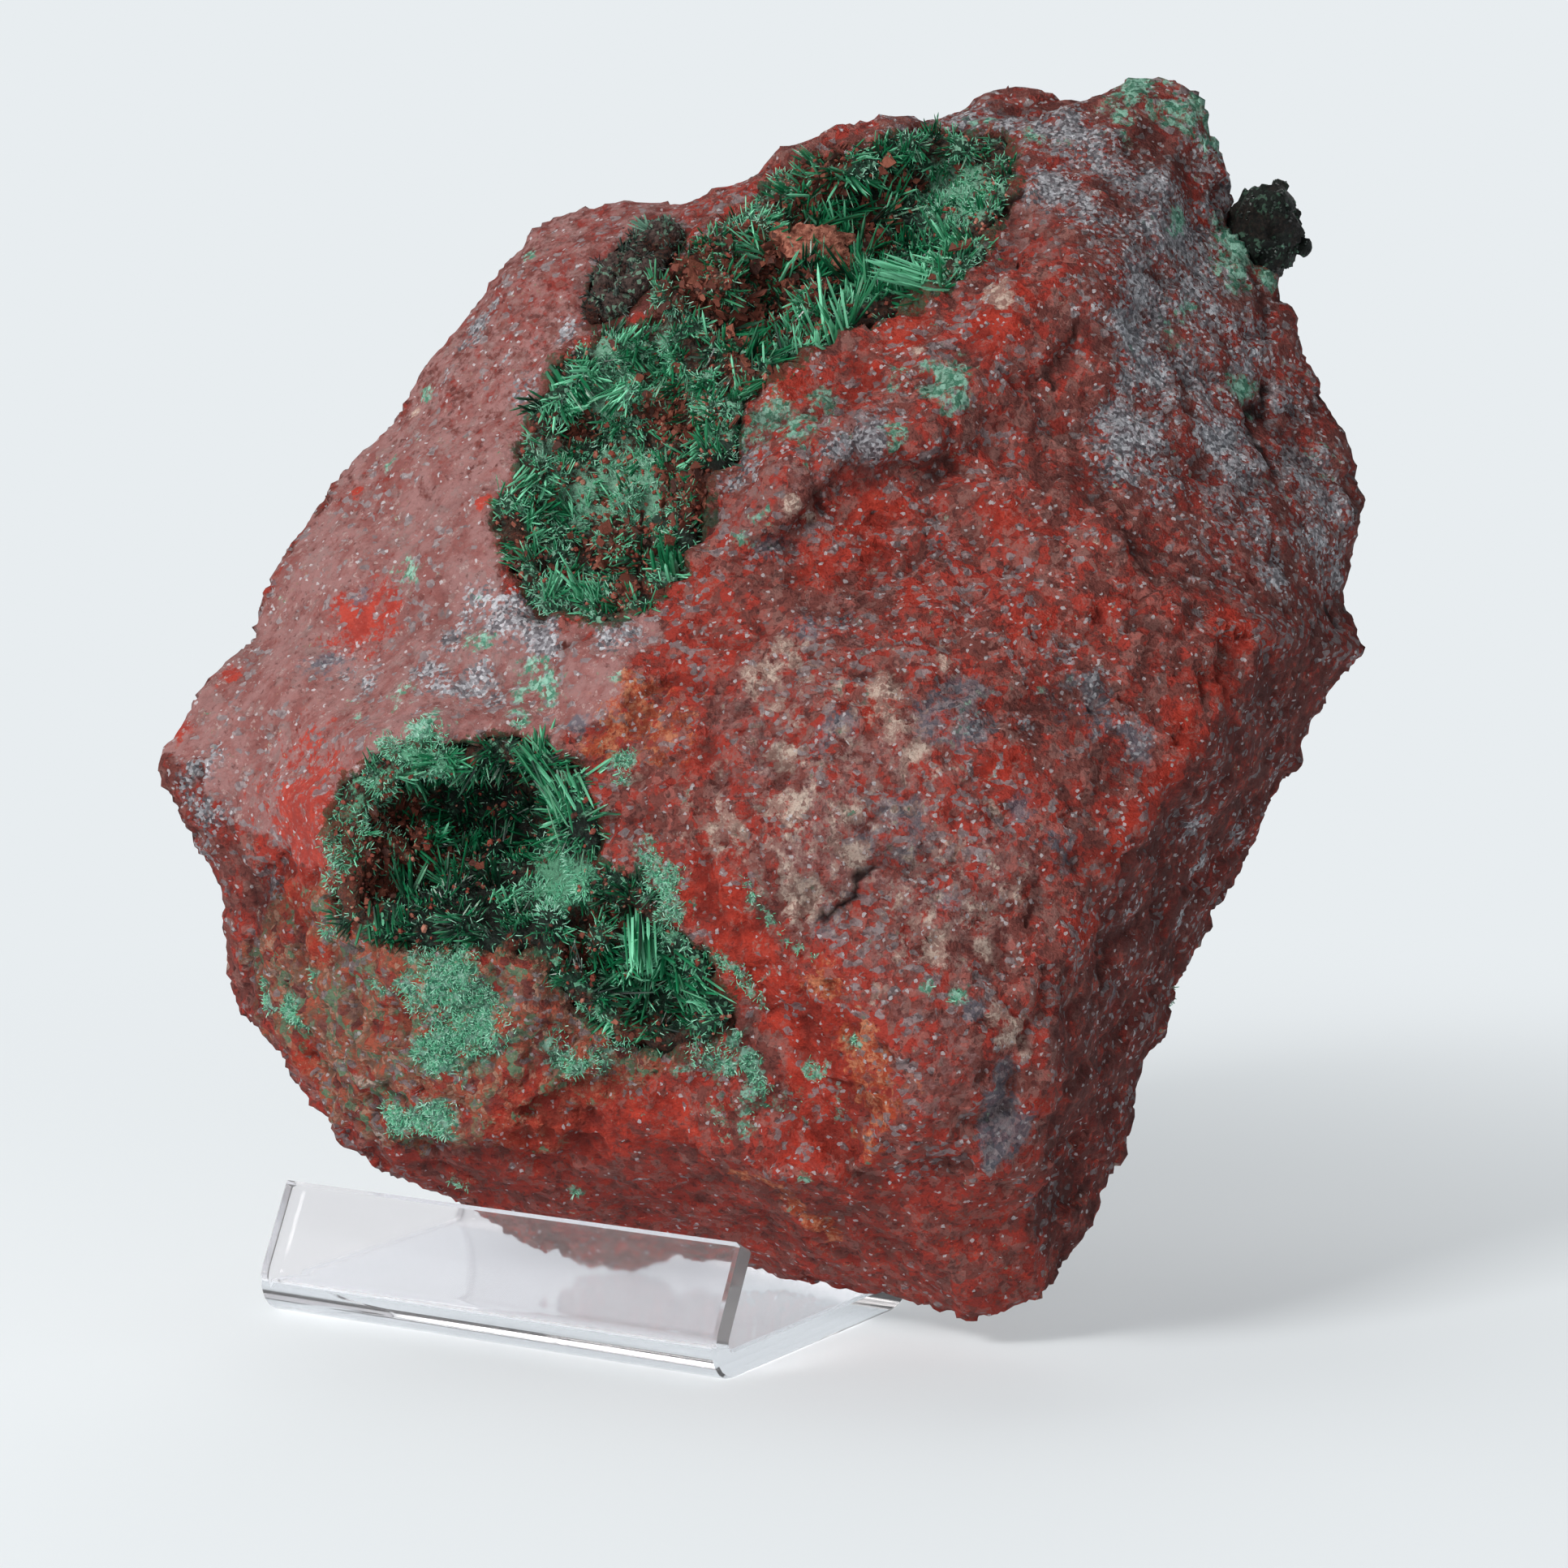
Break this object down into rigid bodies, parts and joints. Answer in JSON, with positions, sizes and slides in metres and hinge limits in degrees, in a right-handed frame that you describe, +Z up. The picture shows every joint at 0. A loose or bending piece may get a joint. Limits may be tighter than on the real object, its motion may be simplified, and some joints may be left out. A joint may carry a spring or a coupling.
{
  "type": "brochantite specimen",
  "caption": "Broken red copper-oxide rock with hollows full of green needle crystals, leaning on a clear folded display stand.",
  "frame": {"origin": "middle of the footprint of the whole specimen and stand, on the surface they stand on", "axes": "+Z up, +X along the stand's lip to its right end, +Y from the lip towards the rear leg"},
  "size_m": [0.0894, 0.0744, 0.1043],
  "materials": {
    "matrix": "rough broken copper-oxide rock with grey metallic glitter and green patches",
    "green_crystals": "glassy emerald needle crystals",
    "dark_crystals": "glittering blackish green crystals",
    "clear_stand": "clear polished sheet, slightly milky at its bends"
  },
  "bodies": {
    "root": {"matrix_rock": "matrix", "upper_crystals": "green_crystals", "lower_crystals": "green_crystals", "seam_crystals": "dark_crystals", "edge_crystals": "dark_crystals", "display_stand": "clear_stand"}
  },
  "joints": []
}
